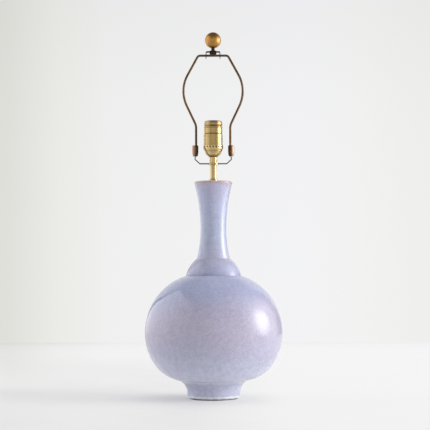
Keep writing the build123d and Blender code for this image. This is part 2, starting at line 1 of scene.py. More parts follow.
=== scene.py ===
import bpy
import json
import math
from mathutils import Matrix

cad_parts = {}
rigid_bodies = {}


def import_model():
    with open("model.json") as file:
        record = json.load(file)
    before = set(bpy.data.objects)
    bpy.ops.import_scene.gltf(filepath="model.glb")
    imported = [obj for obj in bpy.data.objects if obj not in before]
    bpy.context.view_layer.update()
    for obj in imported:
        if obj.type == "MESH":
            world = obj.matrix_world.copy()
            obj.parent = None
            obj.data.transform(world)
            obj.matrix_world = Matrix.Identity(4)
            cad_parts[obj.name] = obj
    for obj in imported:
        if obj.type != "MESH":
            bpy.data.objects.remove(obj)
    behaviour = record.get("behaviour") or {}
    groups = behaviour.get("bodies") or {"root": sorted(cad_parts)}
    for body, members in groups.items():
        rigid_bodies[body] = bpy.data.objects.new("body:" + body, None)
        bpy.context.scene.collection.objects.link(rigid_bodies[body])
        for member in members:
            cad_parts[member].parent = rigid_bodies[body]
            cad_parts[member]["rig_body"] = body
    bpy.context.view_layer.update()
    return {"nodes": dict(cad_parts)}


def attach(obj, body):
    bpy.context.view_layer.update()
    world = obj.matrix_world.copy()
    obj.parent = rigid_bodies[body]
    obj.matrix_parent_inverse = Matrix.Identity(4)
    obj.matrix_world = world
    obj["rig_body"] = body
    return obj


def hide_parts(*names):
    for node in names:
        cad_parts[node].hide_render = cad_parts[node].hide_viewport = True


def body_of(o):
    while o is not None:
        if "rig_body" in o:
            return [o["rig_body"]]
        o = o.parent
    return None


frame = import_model()
bpy.context.scene.view_settings.view_transform = "Standard"

# Vessel: a slip-cast stoneware bottle with a foot ring, a round belly, a bell collar and a waisted
# neck, dipped in a glossy lavender glaze that thins to brown on the lip and crazes all over.
# A square notch at the back of the foot lets the cord out.
mm = 0.001
merge_gap = 0.002 * mm
neck_hole, pipe_hole = 6.75, 5.0
lip_top, hollow_top, waist_height = 380.97, 371.97, 296.67
collar_top, belly_top = 244.77, 214.87
crown, crown_radius = (17.53, 117.37), 102.7
shoulder, shoulder_radius = (13.6, 114.62), 107.5
flank, flank_radius = (26.7, 114.62), 94.4
underside, underside_radius = (47.7, 98.79), 68.1
vessel_wall = 6.5
floor_under, floor_top = 27.69, 37.19
foot_inside, foot_bottom = 38.0, 1.5
notch_half, notch_top, notch_near, notch_far = 4.8, 13.3, 10, 70
seat_half, seat_top, seat_near, seat_far = 6.8, 15.3, 45.8, 60
vessel_crease = 40


def arc(centre, radius, start, end, count):
    """Points of an arc in the radius and height plane, from one angle to the other in degrees."""
    angles = [math.radians(start + (end - start) * i / count) for i in range(count + 1)]
    return [(centre[0] + radius * math.cos(a), centre[1] + radius * math.sin(a)) for a in angles]


def drawn_line(name, outline):
    """A line drawn through an outline of radius and height in millimetres, left selected in edit mode."""
    bpy.ops.object.select_all(action="DESELECT")
    bpy.ops.mesh.primitive_plane_add(size=mm)
    piece = bpy.context.object
    piece.name = name
    bpy.ops.object.mode_set(mode="EDIT")
    bpy.ops.mesh.merge(type="CENTER")
    bpy.ops.transform.translate(value=(outline[0][0] * mm, 0, outline[0][1] * mm))
    for here, there in zip(outline, outline[1:]):
        move = ((there[0] - here[0]) * mm, 0, (there[1] - here[1]) * mm)
        bpy.ops.mesh.extrude_region_move(TRANSFORM_OT_translate={"value": move})
    bpy.ops.mesh.select_all(action="SELECT")
    return piece


def turned(name, outline, steps, crease=30):
    """A piece turned round the lamp's axis from its outline."""
    piece = drawn_line(name, outline)
    bpy.ops.mesh.remove_doubles(threshold=merge_gap)
    bpy.ops.mesh.select_all(action="SELECT")
    bpy.ops.mesh.spin(steps=steps, angle=math.tau, center=(0, 0, 0), axis=(0, 0, 1))
    bpy.ops.mesh.select_all(action="SELECT")
    bpy.ops.mesh.remove_doubles(threshold=merge_gap)
    bpy.ops.mesh.normals_make_consistent(inside=False)
    bpy.ops.object.mode_set(mode="OBJECT")
    bpy.ops.object.shade_smooth_by_angle(angle=math.radians(crease))
    return piece


def box_between(name, low, high):
    """A block between two corners in millimetres, kept as a cutter."""
    bpy.ops.object.select_all(action="DESELECT")
    bpy.ops.mesh.primitive_cube_add(size=mm)
    block = bpy.context.object
    block.name = name
    bpy.ops.transform.resize(value=tuple(b - a for a, b in zip(low, high)))
    bpy.ops.transform.translate(value=tuple((a + b) / 2 * mm for a, b in zip(low, high)))
    bpy.ops.object.transform_apply(location=True, rotation=True, scale=True)
    return block


def cut_away(piece, cutter):
    """Cuts one shape out of a piece and throws the cutter away."""
    bpy.ops.object.select_all(action="DESELECT")
    piece.select_set(True)
    bpy.context.view_layer.objects.active = piece
    cut = piece.modifiers.new("cut", "BOOLEAN")
    cut.operation = "DIFFERENCE"
    cut.solver = "MANIFOLD"
    cut.object = cutter
    bpy.ops.object.modifier_apply(modifier="cut")
    piece.data.materials.clear()
    bpy.data.objects.remove(cutter)


vessel_outline = [(neck_hole, hollow_top), (neck_hole, lip_top)]
vessel_outline += arc((31.41, 378.77), 2.2, 90, -15, 9)  # rounded lip
vessel_outline += arc((334.81, waist_height), 312.11, 164.86, 180, 34)  # neck above its waist
vessel_outline += arc((224.16, waist_height), 201.46, 180, 194.6, 22)  # neck below its waist
vessel_outline += [(29.3, 245.1), (29.6, collar_top), (30.0, collar_top)]
vessel_outline += arc((-4.42, 202.74), 54.58, 49.6, 12.85, 18)  # bell collar
vessel_outline += [(48.75, 215.1), (48.8, belly_top), (49.4, belly_top)]
vessel_outline += arc(crown, crown_radius, 71.3, 35, 34)
vessel_outline += arc(shoulder, shoulder_radius, 34, 0, 22)
vessel_outline += arc(flank, flank_radius, -1.5, -37, 28)
vessel_outline += arc(underside, underside_radius, -38, -76.5, 24)
vessel_outline += arc((68.8, 10.99), 22.2, 103.5, 180, 14)  # hollow turn into the foot
vessel_outline += arc((42.0, 6.1), 4.6, 0, -90, 10)  # rounded edge of the foot
vessel_outline += [(foot_inside, foot_bottom), (foot_inside, floor_under)]
vessel_outline += [(pipe_hole, floor_under), (pipe_hole, floor_top)]
vessel_outline += arc(underside, underside_radius - vessel_wall, -90, -37, 14)  # the inside, going up
vessel_outline += arc(flank, flank_radius - vessel_wall, -35, 0, 14)
vessel_outline += arc(shoulder, shoulder_radius - vessel_wall, 2, 35, 10)
vessel_outline += arc(crown, crown_radius - vessel_wall, 37, 75.08, 14)
vessel_outline += [(23.0, collar_top), (16.2, waist_height), (25.6, hollow_top), (neck_hole, hollow_top)]
vessel = turned("vessel", vessel_outline, steps=192, crease=vessel_crease)
cut_away(vessel, box_between("notch", (-notch_half, notch_near, 0), (notch_half, notch_far, notch_top)))
cut_away(vessel, box_between("flange_seat", (-seat_half, seat_near, 0), (seat_half, seat_far, seat_top)))
bpy.ops.object.shade_smooth_by_angle(angle=math.radians(vessel_crease))


def rgb(red, green, blue):
    """A colour read as 0 to 255 on screen, given as the shader takes it."""
    shares = [level / 255 for level in (red, green, blue)]
    return tuple(s / 12.92 if s <= 0.04 else ((s + 0.055) / 1.055) ** 2.4 for s in shares) + (1,)


def even(share):
    """A colourless share from 0 to 1."""
    return (share, share, share, 1)


def feed(value, socket):
    """Links a node's output to a socket, or sets a plain number or colour there."""
    if isinstance(value, bpy.types.NodeSocket):
        socket.id_data.links.new(value, socket)
    else:
        socket.default_value = value


def new_finish(name):
    """A material with its shader, and the Object coordinates of the piece that wears it."""
    finish = bpy.data.materials.new(name)
    finish.use_nodes = True
    nodes = finish.node_tree.nodes
    return finish, nodes["Principled BSDF"], nodes.new("ShaderNodeTexCoord").outputs["Object"]


def set_looks(shader, looks):
    """Gives a shader its looks by the names of its sockets."""
    for name, value in looks.items():
        feed(value, shader.inputs[name])


def along(place, axis):
    """How far a place lies along one axis, in metres."""
    node = place.id_data.nodes.new("ShaderNodeSeparateXYZ")
    feed(place, node.inputs["Vector"])
    return node.outputs[axis]


def noise(place, scale, detail=2.0, stretch=(1, 1, 1)):
    """Cloudy variation, in lumps of one over the scale metres."""
    nodes = place.id_data.nodes
    mapping = nodes.new("ShaderNodeMapping")
    mapping.inputs["Scale"].default_value = stretch
    feed(place, mapping.inputs["Vector"])
    cloud = nodes.new("ShaderNodeTexNoise")
    cloud.inputs["Scale"].default_value = scale
    cloud.inputs["Detail"].default_value = detail
    feed(mapping.outputs["Vector"], cloud.inputs["Vector"])
    return cloud.outputs["Fac"]


def ramp(amount, *stops):
    """Colours along an amount from 0 to 1."""
    node = amount.id_data.nodes.new("ShaderNodeValToRGB")
    for i, (place, colour) in enumerate(stops):
        stop = node.color_ramp.elements[i] if i < 2 else node.color_ramp.elements.new(place)
        stop.position = place
        stop.color = colour
    feed(amount, node.inputs["Fac"])
    return node.outputs["Color"]


def span(value, low, high, to_low=0.0, to_high=1.0):
    """Maps a range of values to another, held at its ends."""
    node = value.id_data.nodes.new("ShaderNodeMapRange")
    for i, number in enumerate((value, low, high, to_low, to_high)):
        feed(number, node.inputs[i])
    return node.outputs["Result"]


def blend_colours(amount, under, over, way="MIX"):
    """Lays one colour over another by an amount."""
    node = under.id_data.nodes.new("ShaderNodeMix")
    node.data_type = "RGBA"
    node.blend_type = way
    for socket, value in ((node.inputs[0], amount), (node.inputs[6], under), (node.inputs[7], over)):
        feed(value, socket)
    return node.outputs[2]


def sums(way, one, two):
    """One step of arithmetic on two values."""
    node = one.id_data.nodes.new("ShaderNodeMath")
    node.operation = way
    feed(one, node.inputs[0])
    feed(two, node.inputs[1])
    return node.outputs[0]


def relief(height, shader, depth, strength=1.0):
    """Fine relief of a surface, as deep as it is in metres."""
    bump = height.id_data.nodes.new("ShaderNodeBump")
    bump.inputs["Distance"].default_value = depth
    bump.inputs["Strength"].default_value = strength
    feed(height, bump.inputs["Height"])
    feed(bump.outputs["Normal"], shader.inputs["Normal"])


glaze, shader, place = new_finish("lavender_glaze")
height = along(place, "Z")
drift = span(noise(place, 9.0, 3.0), 0.3, 0.7, -0.022, 0.022)
drift = sums("MULTIPLY", drift, span(height, 0.045, 0.1))
# Glaze colour by height: the mauve and blue bands are the glaze's own tone. The lighter colours low on the belly
# and foot are painted light standing in for light bounced up from the table. The pale band where the underside
# turns into the hollow above the foot is painted light over the shade there.
glaze_tone_and_bounce = ramp(
    span(sums("ADD", height, drift), 0.0, 0.4),
    (0.0, rgb(196, 200, 222)), (0.03, rgb(192, 196, 218)), (0.068, rgb(194, 198, 220)),
    (0.077, rgb(226, 229, 242)), (0.086, rgb(226, 229, 242)), (0.098, rgb(212, 214, 236)),
    (0.12, rgb(206, 208, 230)), (0.155, rgb(194, 196, 218)), (0.2, rgb(183, 184, 207)),
    (0.29, rgb(183, 177, 197)), (0.36, rgb(183, 177, 198)), (0.45, rgb(168, 174, 203)),
    (0.54, rgb(172, 179, 208)), (0.62, rgb(178, 178, 201)), (0.74, rgb(172, 183, 208)),
    (0.86, rgb(177, 182, 211)), (1.0, rgb(182, 180, 204)),
)
cells = glaze.node_tree.nodes.new("ShaderNodeTexVoronoi")
cells.feature = "DISTANCE_TO_EDGE"
cells.inputs["Scale"].default_value = 300.0
feed(place, cells.inputs["Vector"])
craze = span(cells.outputs["Distance"], 0.0, 0.09, 1.0, 0.0)
craze_fade = sums("MULTIPLY", craze, span(noise(place, 40.0), 0.35, 0.65, 0.1, 0.42))
cloud = span(noise(place, 150.0, 3.0), 0.35, 0.65, 0.0, 0.3)
clouded = blend_colours(cloud, glaze_tone_and_bounce, rgb(150, 146, 172))
crazed = blend_colours(craze_fade, clouded, rgb(128, 122, 146))
speck = span(noise(place, 620.0, 3.0), 0.56, 0.72, 0.0, 0.5)
speckled = blend_colours(speck, crazed, rgb(214, 214, 228))
fleck = span(noise(place, 480.0, 2.0), 0.63, 0.75, 0.0, 0.4)
flecked = blend_colours(fleck, speckled, rgb(140, 128, 150))
wavy_height = sums("ADD", height, span(noise(place, 110.0), 0.3, 0.7, -0.0012, 0.0012))
worn_lip = blend_colours(span(wavy_height, 0.3725, 0.378, 0.0, 0.85), flecked, rgb(182, 160, 158))
pale_foot = blend_colours(span(wavy_height, 0.0052, 0.0072, 0.9, 0.0), worn_lip, rgb(230, 234, 240))
bare_foot = blend_colours(span(wavy_height, 0.0016, 0.0024, 0.9, 0.0), pale_foot, rgb(150, 134, 110))
# Painted shade: a darker band in the crease where the bell collar meets the belly.
collar_crease_shade = ramp(
    span(height, 0.205, 0.225),
    (0.0, even(0)), (0.485, even(0)), (0.5, even(0.4)), (0.75, even(0.12)), (1.0, even(0)),
)
set_looks(shader, {
    "Base Color": blend_colours(collar_crease_shade, bare_foot, rgb(124, 122, 150)),
    "Roughness": span(noise(place, 70.0), 0.3, 0.7, 0.05, 0.09),
    "IOR": 1.52,
})
relief(sums("ADD", noise(place, 60.0, 1.0), sums("MULTIPLY", craze, -0.03)), shader, 0.12 * mm, 0.5)
vessel.data.materials.append(glaze)
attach(vessel, "lamp")
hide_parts("ceramic_body")

# Felt pad: a disc die-cut from brown-grey felt and glued under the foot ring, which it keeps off
# the table; its cut edge is a little rounded.
felt_radius = 41.0
felt_thickness = 1.5
felt_rings = (0.6, 3.0, 6.0, 9.0, 10.0)


def ease_rings(piece, size, segments, *rings, crease=30):
    """Bevels the edges that run round the lamp's axis at the given radii and heights."""
    slack = 0.02
    ring_of = []
    for v in piece.data.vertices:
        reach, height = math.hypot(v.co.x, v.co.y) / mm, v.co.z / mm
        near = [i for i, (r, z) in enumerate(rings) if abs(reach - r) < slack and abs(height - z) < slack]
        ring_of.append(near[0] if near else None)
    bpy.ops.object.mode_set(mode="EDIT")
    bpy.ops.mesh.select_mode(type="EDGE")
    bpy.ops.mesh.select_all(action="DESELECT")
    bpy.ops.object.mode_set(mode="OBJECT")
    for edge in piece.data.edges:
        start, end = (ring_of[i] for i in edge.vertices)
        edge.select = start is not None and start == end
    bpy.ops.object.mode_set(mode="EDIT")
    bpy.ops.mesh.bevel(offset=size * mm, segments=segments, profile=0.5, affect="EDGES")
    bpy.ops.mesh.select_mode(type="VERT")
    bpy.ops.object.mode_set(mode="OBJECT")
    bpy.ops.object.shade_smooth_by_angle(angle=math.radians(crease))


bpy.ops.object.select_all(action="DESELECT")
bpy.ops.mesh.primitive_circle_add(vertices=128, radius=felt_radius * mm, fill_type="NGON")
felt_disc = bpy.context.object
felt_disc.name = "felt_disc"
bpy.ops.object.mode_set(mode="EDIT")
bpy.ops.mesh.select_mode(type="FACE")
bpy.ops.mesh.select_all(action="SELECT")
for ring in felt_rings:
    bpy.ops.mesh.inset(thickness=ring * mm, depth=0)
bpy.ops.mesh.select_all(action="SELECT")
bpy.ops.mesh.extrude_region_move(TRANSFORM_OT_translate={"value": (0, 0, felt_thickness * mm)})
bpy.ops.mesh.select_all(action="SELECT")
bpy.ops.mesh.normals_make_consistent(inside=False)
bpy.ops.mesh.select_mode(type="VERT")
bpy.ops.object.mode_set(mode="OBJECT")
ease_rings(felt_disc, 0.4, 2, (felt_radius, 0.0), (felt_radius, felt_thickness), crease=60)
felt_cloth, shader, place = new_finish("brown_grey_felt")
fibres = noise(place, 1400.0, 6.0)
tufts = noise(place, 260.0, 3.0)
felt_colour = ramp(fibres, (0.3, rgb(74, 64, 50)), (0.7, rgb(120, 106, 86)))
set_looks(shader, {
    "Base Color": blend_colours(span(tufts, 0.35, 0.65, 0.0, 0.4), felt_colour, rgb(96, 88, 72)),
    "Roughness": 0.95,
    "Sheen Weight": 0.35,
    "Sheen Roughness": 0.6,
})
relief(sums("ADD", fibres, tufts), shader, 0.3 * mm, 0.7)
felt_disc.data.materials.append(felt_cloth)
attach(felt_disc, "lamp")
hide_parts("felt_pad")

# Cord grommet: a moulded rubber block slid up into the notch, with a flange on each side of the
# foot ring and a round hole for the cord.


def dressed(node, finish, crease=30, dissolve=0.0, bevel=0.0):
    """A smooth skin over a plain solid: its facets are joined, its flats cleaned and its edges eased."""
    bpy.ops.object.select_all(action="DESELECT")
    solid = frame["nodes"][node]
    skin = bpy.data.objects.new(node + "_piece", solid.data.copy())
    bpy.context.scene.collection.objects.link(skin)
    skin.select_set(True)
    bpy.context.view_layer.objects.active = skin
    bpy.ops.object.mode_set(mode="EDIT")
    bpy.ops.mesh.select_all(action="SELECT")
    bpy.ops.mesh.remove_doubles(threshold=0.001 * mm)
    if dissolve:
        bpy.ops.mesh.dissolve_limited(angle_limit=math.radians(dissolve))
    bpy.ops.object.mode_set(mode="OBJECT")
    if skin.data.has_custom_normals:
        bpy.ops.mesh.customdata_custom_splitnormals_clear()
    if bevel:
        edge = skin.modifiers.new("edge", "BEVEL")
        edge.width = bevel * mm
        edge.segments = 2
        edge.limit_method = "ANGLE"
        edge.angle_limit = math.radians(40)
        bpy.ops.object.modifier_apply(modifier="edge")
    bpy.ops.object.shade_smooth_by_angle(angle=math.radians(crease))
    skin.data.materials.clear()
    skin.data.materials.append(finish)
    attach(skin, body_of(solid)[0])
    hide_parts(node)


black_rubber, shader, place = new_finish("black_rubber")
bloom = noise(place, 180.0, 4.0)
set_looks(shader, {
    "Base Color": ramp(bloom, (0.35, rgb(30, 29, 29)), (0.7, rgb(52, 50, 49))),
    "Roughness": span(bloom, 0.3, 0.7, 0.5, 0.7),
})
relief(noise(place, 900.0), shader, 0.03 * mm)
dressed("cord_grommet", black_rubber, dissolve=1.0, bevel=0.25)

# Clamping stack: a rubber gasket, a steel washer, a split lock washer and a hexagon nut on the
# threaded pipe that runs up through the vessel; the foot ring and the felt hide them.
plated_steel, shader, place = new_finish("zinc_plated_steel")
spangle = noise(place, 240.0, 4.0)
set_looks(shader, {
    "Base Color": ramp(spangle, (0.3, rgb(146, 146, 148)), (0.7, rgb(186, 186, 184))),
    "Metallic": 1.0,
    "Roughness": span(spangle, 0.3, 0.7, 0.28, 0.46),
})
relief(noise(place, 800.0, 2.0, (1, 1, 0.1)), shader, 0.02 * mm)
dressed("foot_gasket", black_rubber, bevel=0.2)
for fitting in ("foot_washer", "lock_washer", "pipe_nut", "lamp_pipe"):
    dressed(fitting, plated_steel)

# Seating ring and neck tube: turned and drawn brass, lacquered to a satin old-gold colour; the
# ring sits on the lip round the pipe, and the tube stands on it and covers the pipe.
spigot_radius, spigot_bottom = 6.6, 376.97
ring_radius, ring_top = 7.8, 385.57
ring_chamfer, ring_chamfer_radius = 384.5, 6.9
tube_radius, tube_top = 5.8, 410.37


def brass_finish(name, light, dark, roughness, grooves=(), lacquer=1.0):
    """Lacquered brass, clouded by handling, with lathe lines round the axis. Its grooves are darkened with
    painted shade mixed with tarnish, each given by its height, its half width in millimetres and the share of
    that darkening."""
    finish, shader, place = new_finish(name)
    patina = noise(place, 75.0, 5.0)
    grime = noise(place, 150.0, 3.0)
    colour = ramp(patina, (0.32, dark), (0.66, light))
    colour = blend_colours(span(grime, 0.55, 0.75, 0.0, 0.08), colour, dark)
    # Painted shade and tarnish: dark bands at the heights of the grooves.
    if grooves:
        margin, soft = 4.0, 0.3
        lowest, highest = grooves[0][0] - margin, grooves[-1][0] + margin
        stops = [(0.0, even(0))]
        for groove, half, share in grooves:
            for step, amount in ((-half - soft, 0.0), (-half, share), (half, share), (half + soft, 0.0)):
                stops.append(((groove + step - lowest) / (highest - lowest), even(amount)))
        groove_shade_and_tarnish = ramp(span(along(place, "Z"), lowest * mm, highest * mm), *stops)
        colour = blend_colours(groove_shade_and_tarnish, colour, rgb(84, 60, 24))
    set_looks(shader, {
        "Base Color": colour,
        "Metallic": 1.0,
        "Roughness": span(patina, 0.3, 0.7, roughness + 0.03, roughness - 0.02),
        "Coat Weight": lacquer,
        "Coat Roughness": 0.16,
        "Coat IOR": 1.8,
    })
    relief(noise(place, 30.0, 2.0, (1, 1, 160)), shader, 0.002 * mm, 0.5)
    return finish


tube_brass = brass_finish("old_gold_brass", rgb(191, 167, 106), rgb(183, 157, 96), roughness=0.3)
collar_outline = [(pipe_hole, spigot_bottom), (spigot_radius, spigot_bottom), (spigot_radius, lip_top)]
collar_outline += [(ring_radius, lip_top), (ring_radius, ring_chamfer), (ring_chamfer_radius, ring_top)]
collar_outline += [(pipe_hole, ring_top), (pipe_hole, spigot_bottom)]
neck_collar = turned("neck_collar", collar_outline, steps=96)
ease_rings(
    neck_collar, 0.35, 3,
    (ring_radius, lip_top), (ring_radius, ring_chamfer), (ring_chamfer_radius, ring_top),
)
neck_collar.data.materials.append(tube_brass)
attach(neck_collar, "lamp")
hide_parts("neck_ring")
sleeve_outline = [(pipe_hole, ring_top), (tube_radius, ring_top), (tube_radius, tube_top)]
sleeve_outline += [(pipe_hole, tube_top), (pipe_hole, ring_top)]
neck_sleeve = turned("neck_sleeve", sleeve_outline, steps=96)
ease_rings(neck_sleeve, 0.2, 2, (tube_radius, ring_top), (tube_radius, tube_top))
neck_sleeve.data.materials.append(tube_brass)
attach(neck_sleeve, "lamp")
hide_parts("neck_tube")

# Saddle: a bent steel strip with upright tongues for the harp, keyed in a slotted brass cup
# between the tube and the socket's hub.
dressed("saddle_ring", tube_brass, dissolve=1.0, bevel=0.2)
dull_steel, shader, place = new_finish("dull_steel_strip")
rolled = noise(place, 160.0, 5.0, (0.15, 1, 1))
set_looks(shader, {
    "Base Color": ramp(rolled, (0.3, rgb(84, 84, 80)), (0.7, rgb(122, 121, 116))),
    "Metallic": 1.0,
    "Roughness": span(rolled, 0.3, 0.7, 0.3, 0.5),
})
relief(rolled, shader, 0.03 * mm)
dressed("harp_saddle", dull_steel, dissolve=1.0, bevel=0.25)

# Socket cap: a spun brass cup on a threaded hub, with a pressed line round its bowl and a row of
# punched dimples that hold the shell; a set screw at the back locks the hub on the pipe.
hub_radius, hub_bottom, hub_top = 7.0, 413.37, 424.17
line_inside, line_outside, line_height = 15.2, 15.9, 434.77
rim_radius, rim_inside, rim_bottom, rim_top = 17.6, 16.9, 438.67, 445.37
shell_seat = 439.37
socket_steps = 160
dimple_count, dimple_height = 20, 441.97
dimple_half, dimple_edge = 2.0, 17.54
punch_radius, punch_reach = 1.25, 18.25
punch_turn = 0.5  # degrees, which keep the punches off the lines of the cap's mesh
cap_grooves = ((424.6, 0.7, 0.75), (434.9, 0.35, 0.6), (445.6, 0.3, 0.5))
cap_brass = brass_finish(
    "cap_brass", rgb(214, 184, 118), rgb(206, 175, 108), roughness=0.34, grooves=cap_grooves, lacquer=0.8,
)
cap_outline = [(pipe_hole, hub_bottom), (hub_radius, hub_bottom), (hub_radius, hub_top)]
cap_outline += [(8.6, 425.04), (10.6, 426.54), (12.5, 428.64), (14.0, 431.24)]  # bowl
cap_outline += [(line_inside, line_height), (line_outside, line_height), (16.0, 435.64), (16.5, 437.04)]
cap_outline += [(rim_radius, rim_bottom), (rim_radius, rim_top), (rim_inside, rim_top)]
cap_outline += [(rim_inside, shell_seat), (13.2, shell_seat)]
cap_outline += [(12.6, 434.54), (10.6, 429.54), (8.0, 426.44), (pipe_hole, 424.87)]  # inside of the bowl
cap_outline += [(pipe_hole, hub_bottom)]
cap = turned("spun_cap", cap_outline, steps=socket_steps)
ease_rings(
    cap, 0.4, 3,
    (hub_radius, hub_bottom), (hub_radius, hub_top), (rim_radius, rim_bottom), (rim_radius, rim_top),
)
ease_rings(cap, 0.18, 2, (line_inside, line_height), (line_outside, line_height))
bpy.ops.object.select_all(action="DESELECT")
bpy.ops.mesh.primitive_uv_sphere_add(segments=16, ring_count=12, radius=punch_radius * mm, location=(0, 0, 0))
punches = bpy.context.object
punches.name = "dimple_punches"
bpy.ops.object.mode_set(mode="EDIT")
bpy.ops.mesh.select_all(action="SELECT")
bpy.ops.transform.resize(value=(1, 1.25, 1.6))
bpy.ops.transform.translate(value=(punch_reach * mm, 0, dimple_height * mm))
bpy.ops.transform.rotate(value=math.radians(punch_turn), orient_axis="Z", center_override=(0, 0, 0))
bpy.ops.mesh.spin(
    steps=dimple_count - 1, dupli=True, angle=math.tau * (dimple_count - 1) / dimple_count,
    center=(0, 0, 0), axis=(0, 0, 1),
)
bpy.ops.object.mode_set(mode="OBJECT")
cut_away(cap, punches)
bpy.ops.object.shade_smooth_by_angle(angle=math.radians(30))
cap.data.materials.append(cap_brass)
# Painted shade: the faces inside the punched dimples get a dark second finish.
dimple_shade, shader, place = new_finish("dimple_shade")
dimple_mottle = noise(place, 500.0, 3.0)
set_looks(shader, {
    "Base Color": ramp(dimple_mottle, (0.3, rgb(58, 42, 18)), (0.7, rgb(84, 64, 30))),
    "Metallic": 0.6,
    "Roughness": 0.6,
})
cap.data.materials.append(dimple_shade)
for face in cap.data.polygons:
    reach, rise = math.hypot(face.center.x, face.center.y) / mm, face.center.z / mm
    if reach < dimple_edge and abs(rise - dimple_height) < dimple_half:
        face.material_index = 1
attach(cap, "lamp")
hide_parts("socket_cap")
dressed("hub_screw", plated_steel, bevel=0.1)

# Socket shell: drawn brass, stepped in once above the cap, with a rolled bead and a turned-in
# top edge; it snaps into the cap over a fibre liner.
shell_mouth, shell_top = 13.9, 488.17
skirt_radius, skirt_inside, skirt_top = 16.75, 16.15, 464.37
body_radius, body_inside, body_bottom = 16.2, 15.5, 466.1
step_inside, groove_radius = 463.77, 15.75
shell_grooves = ((445.6, 0.3, 0.5), (465.2, 0.75, 0.85), (475.5, 0.25, 0.5), (479.1, 0.45, 0.85))
shell_brass = brass_finish(
    "shell_brass", rgb(182, 152, 85), rgb(174, 143, 77), roughness=0.34, grooves=shell_grooves, lacquer=0.75,
)
shell_outline = [(shell_mouth, shell_top), (shell_mouth, 487.57), (14.9, 486.64), (body_inside, 484.97)]
shell_outline += [(body_inside, step_inside), (skirt_inside, step_inside), (skirt_inside, shell_seat)]
shell_outline += [(skirt_radius, shell_seat), (skirt_radius, skirt_top), (groove_radius, 464.6)]
shell_outline += [(groove_radius, 465.8), (body_radius, body_bottom), (body_radius, 475.1)]
shell_outline += [(15.95, 475.4), (15.95, 475.6)] + arc((15.5, 477.1), 1.15, -64, 64, 10)  # rolled bead
shell_outline += [(groove_radius, 478.75), (groove_radius, 479.4), (16.1, 479.9)]
shell_outline += arc((10.3, 483.1), 6.0, -24, 25, 9)  # swelling under the top
shell_outline += arc((13.45, 485.9), 2.27, 8, 76, 7) + [(shell_mouth, shell_top)]  # turned-in edge
shell = turned("drawn_shell", shell_outline, steps=socket_steps)
ease_rings(shell, 0.3, 3, (skirt_radius, skirt_top), (body_radius, body_bottom), (skirt_radius, shell_seat))
shell.data.materials.append(shell_brass)
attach(shell, "lamp")
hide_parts("socket_shell")

# Liner and insulator: a rolled tube of red-brown vulcanised fibre inside the shell, round a
# moulded black insulator that carries the live parts.
fibre_board, shader, place = new_finish("vulcanised_fibre")
strands = noise(place, 500.0, 5.0, (1, 1, 0.2))
set_looks(shader, {
    "Base Color": ramp(strands, (0.3, rgb(98, 70, 46)), (0.7, rgb(140, 106, 74))),
    "Roughness": 0.8,
})
relief(strands, shader, 0.06 * mm)
dressed("socket_liner", fibre_board, bevel=0.15)
black_moulding, shader, place = new_finish("black_moulding")
flow = noise(place, 120.0, 4.0)
set_looks(shader, {
    "Base Color": ramp(flow, (0.3, rgb(24, 22, 21)), (0.7, rgb(44, 40, 37))),
    "Roughness": span(flow, 0.3, 0.7, 0.3, 0.45),
})
relief(noise(place, 700.0), shader, 0.02 * mm)
dressed("socket_base", black_moulding, dissolve=1.0, bevel=0.3)

# Screw shell and contacts: the bulb's thread is rolled into a thin brass sleeve that stands on
# the insulator; a sprung tab touches the bulb's tip, and two screws hold the wires.
thread_radius, thread_depth, thread_pitch = 13.5, 0.2, 3.6
thread_bottom, thread_top, thread_start = 453.39, 479.34, 480.0
thread_gauge = 0.2
thread_crease = 40


def wound(name, radius, depth, pitch, start, points, steps, turns):
    """A right-hand thread's skin, wound down the lamp's axis from one pitch of its wave in millimetres."""
    angles = [math.tau * i / points for i in range(points + 1)]
    wave = [(radius + depth * math.cos(a), start + pitch * i / points) for i, a in enumerate(angles)]
    piece = drawn_line(name, wave)
    bpy.ops.mesh.screw(steps=steps, turns=turns, center=(0, 0, 0), axis=(0, 0, -1))
    bpy.ops.mesh.select_all(action="SELECT")
    bpy.ops.mesh.remove_doubles(threshold=merge_gap)
    bpy.ops.object.mode_set(mode="OBJECT")
    return piece


def trim_ends(piece, bottom, top, capped=True):
    """Cuts a thread off square at two heights, and closes the cuts where it is solid."""
    bpy.ops.object.mode_set(mode="EDIT")
    for cut, side in ((bottom, 1), (top, -1)):
        bpy.ops.mesh.select_all(action="SELECT")
        bpy.ops.mesh.bisect(
            plane_co=(0, 0, cut * mm), plane_no=(0, 0, side),
            clear_inner=True, use_fill=capped, threshold=0.0001 * mm,
        )
    bpy.ops.mesh.select_all(action="SELECT")
    bpy.ops.mesh.normals_make_consistent(inside=False)
    bpy.ops.object.mode_set(mode="OBJECT")
    bpy.ops.object.shade_smooth_by_angle(angle=math.radians(thread_crease))


contact_brass = brass_finish("contact_brass", rgb(226, 202, 142), rgb(200, 172, 112), roughness=0.3)
thread = wound(
    "rolled_thread", thread_radius, thread_depth, thread_pitch, thread_start, points=10, steps=72, turns=9,
)
trim_ends(thread, thread_bottom, thread_top, capped=False)
wall = thread.modifiers.new("wall", "SOLIDIFY")
wall.thickness = thread_gauge * mm
wall.offset = 0
bpy.ops.object.modifier_apply(modifier="wall")
bpy.ops.object.shade_smooth_by_angle(angle=math.radians(thread_crease))
thread.data.materials.append(contact_brass)
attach(thread, "lamp")
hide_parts("screw_shell")
for contact in ("contact_foot", "contact_tab", "terminal_screws"):
    dressed(contact, contact_brass, bevel=0.08)

# Harp: one piece of brass wire bent to a bow, darkened to an antique bronze that is rubbed back
# to brown here and there; its halved ends lap the saddle's tongues.


